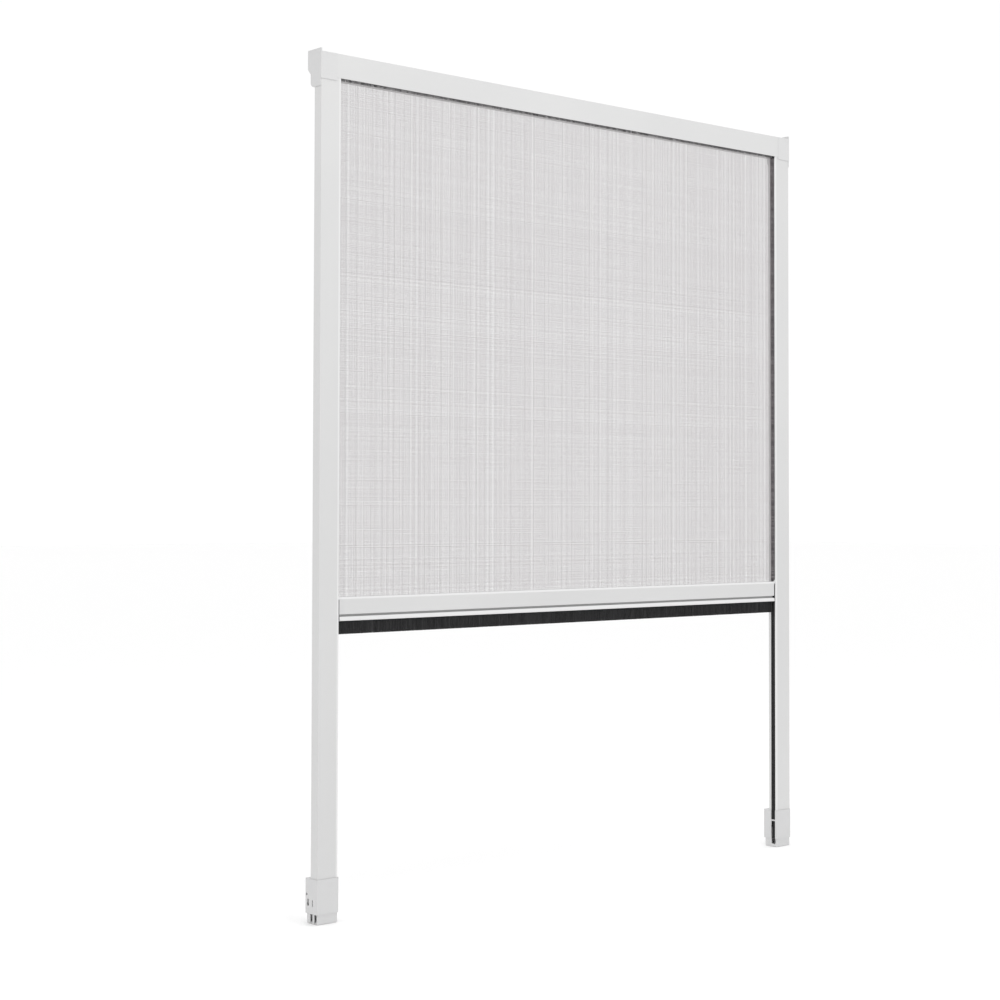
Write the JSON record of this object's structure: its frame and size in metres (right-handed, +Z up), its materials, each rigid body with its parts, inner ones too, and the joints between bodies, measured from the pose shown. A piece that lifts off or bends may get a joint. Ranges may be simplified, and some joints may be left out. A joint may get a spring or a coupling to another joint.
{
  "type": "roll-down window insect screen",
  "caption": "Roll-down insect screen for a window: cassette with sprung roller, guide rails with brush seals and sprung feet, net and pull bar, shown part way down.",
  "frame": {"origin": "on the sill, midway between the rails and between the front and back of the end caps", "axes": "+X to the right seen from the room, +Y out of the window, +Z up; the front with the pull bar's lip looks along -Y"},
  "size_m": [1.3, 0.042, 1.6],
  "materials": {
    "white_extrusion": "white powder coat, satin",
    "white_plastic": "white moulded plastic, fine grain",
    "dark_pile": "dense brush pile, dark grey",
    "grey_net": "coated fibre net, grey",
    "black_cord": "soft round cord",
    "pale_rubber": "matt rubber, pale grey",
    "bare_aluminium": "mill finish",
    "steel": "zinc plated",
    "spring_wire": "drawn spring wire",
    "black_plastic": "black moulded plastic"
  },
  "bodies": {
    "frame": {"cassette_housing": "white_extrusion", "cassette_brush": "dark_pile", "spring_shaft": "steel", "spring_anchor": "black_plastic", "end_cap_left": "white_plastic", "end_cap_right": "white_plastic", "rail_left": "white_extrusion", "rail_right": "white_extrusion", "rail_brush_left": "dark_pile", "rail_brush_right": "dark_pile", "foot_sleeve_left": "white_plastic", "foot_sleeve_right": "white_plastic", "foot_seal_left": "dark_pile", "foot_seal_right": "dark_pile"},
    "roller": {"roller_tube": "bare_aluminium", "net_roll": "grey_net", "roller_plug_left": "black_plastic", "roller_plug_right": "black_plastic", "roller_pin": "steel", "torsion_spring": "spring_wire"},
    "bar": {"pull_bar": "white_extrusion", "bar_end_left": "white_plastic", "bar_end_right": "white_plastic", "bar_brush": "dark_pile", "net_spline": "black_cord", "insect_net": "grey_net"},
    "foot_left": {"foot_slider_left": "white_plastic", "foot_pad_left": "pale_rubber", "foot_spring_left": "spring_wire"},
    "foot_right": {"foot_slider_right": "white_plastic", "foot_pad_right": "pale_rubber", "foot_spring_right": "spring_wire"}
  },
  "joints": [
    {"name": "bar_slide", "type": "slide", "parent": "frame", "child": "bar", "axis": [0, 0, 1], "range_m": [-0.5229, 0.9466], "deforming": ["insect_net"]},
    {"name": "roller_turn", "type": "hinge", "parent": "frame", "child": "roller", "pos_m": [0, 0.0007, 1.57175], "axis": [1, 0, 0], "range_deg": [-3547, 1960]},
    {"name": "foot_left_slide", "type": "slide", "parent": "frame", "child": "foot_left", "axis": [0, 0, 1], "range_m": [0, 0.014], "stiffness_N_per_m": 1500, "springref_m": -0.01, "deforming": ["foot_spring_left"]},
    {"name": "foot_right_slide", "type": "slide", "parent": "frame", "child": "foot_right", "axis": [0, 0, 1], "range_m": [0, 0.014], "stiffness_N_per_m": 1500, "springref_m": -0.01, "deforming": ["foot_spring_right"]}
  ],
  "couplings": [
    {"joint": "roller_turn", "follows": "bar_slide", "rad_per_m": -65.359}
  ]
}
